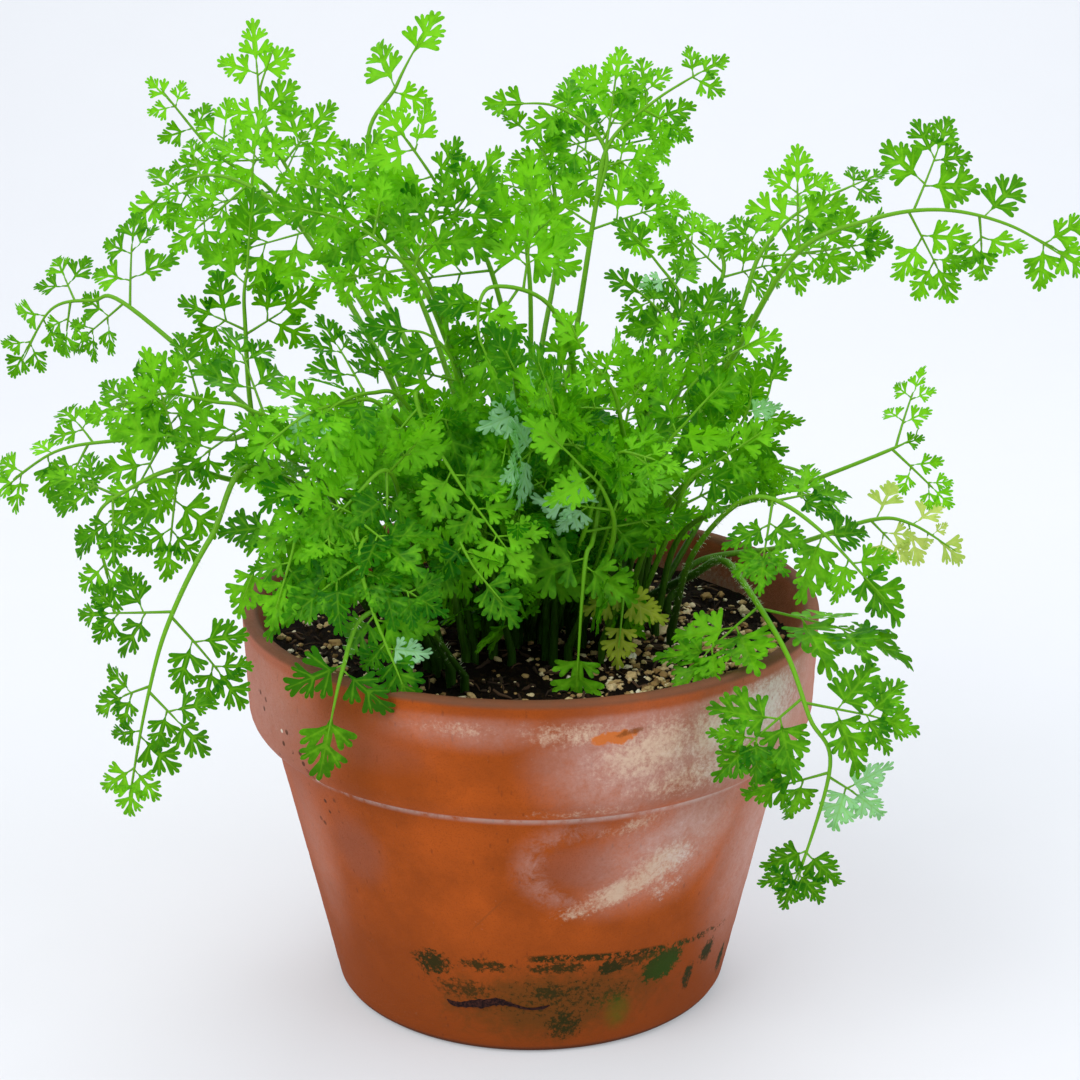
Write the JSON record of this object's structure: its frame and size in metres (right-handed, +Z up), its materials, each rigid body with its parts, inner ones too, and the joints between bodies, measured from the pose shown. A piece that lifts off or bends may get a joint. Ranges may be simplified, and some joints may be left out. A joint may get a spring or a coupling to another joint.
{
  "type": "potted herb",
  "caption": "Bushy herb with finely divided, fern-like green leaves on thin arching stalks, growing in dark soil in a collared terracotta pot. It stands free on the pot's flat base.",
  "frame": {"origin": "on the pot's axis, in the plane of the base ring that the pot stands on", "axes": "+Z up along the pot's axis, -Y towards the front of the pictured side, +X to its right"},
  "size_m": [0.2871, 0.1726, 0.2491],
  "materials": {
    "terracotta": "unglazed, weathered",
    "potting_soil": "rough, damp",
    "leaf": "satin",
    "pale_leaf": "satin",
    "yellow_leaf": "satin"
  },
  "bodies": {
    "root": {"pot": "terracotta", "soil": "potting_soil", "frond_left_hanging": "leaf", "frond_left_low": "leaf", "frond_left_reach": "leaf", "frond_left_crown": "leaf", "frond_left_diagonal": "leaf", "frond_left_upright": "leaf", "frond_back_left_high": "leaf", "frond_back_left_far": "leaf", "frond_back_left_side": "leaf", "frond_tall_thin": "leaf", "frond_centre_left": "leaf", "frond_centre_left_side": "leaf", "frond_middle_sprig": "leaf", "frond_back_tall": "leaf", "frond_back_tall_left": "leaf", "frond_right_arch": "leaf", "frond_right_back_inner": "leaf", "frond_right_back_outer": "leaf", "frond_right_back_dark": "leaf", "frond_right_middle": "leaf", "frond_right_middle_low": "leaf", "frond_right_fine": "leaf", "frond_right_pale": "pale_leaf", "frond_right_front_high": "leaf", "frond_right_hook": "leaf", "frond_front_leaf": "leaf", "frond_front_yellow": "yellow_leaf", "frond_rim_sprig": "leaf", "frond_front_left_big": "leaf", "frond_centre_drop": "leaf", "frond_centre_arch": "leaf", "frond_front_left_inner": "leaf", "frond_front_left_outer": "leaf", "frond_front_centre": "leaf", "frond_centre_arch_high": "leaf", "frond_centre_leaf_left": "leaf", "frond_centre_glossy": "leaf", "frond_centre_right_high": "leaf", "frond_centre_right_side": "leaf", "frond_centre_right_low": "leaf", "frond_rear_left": "leaf", "frond_rear_centre": "leaf", "frond_rear_right": "leaf", "frond_rear_side": "leaf"}
  },
  "joints": []
}
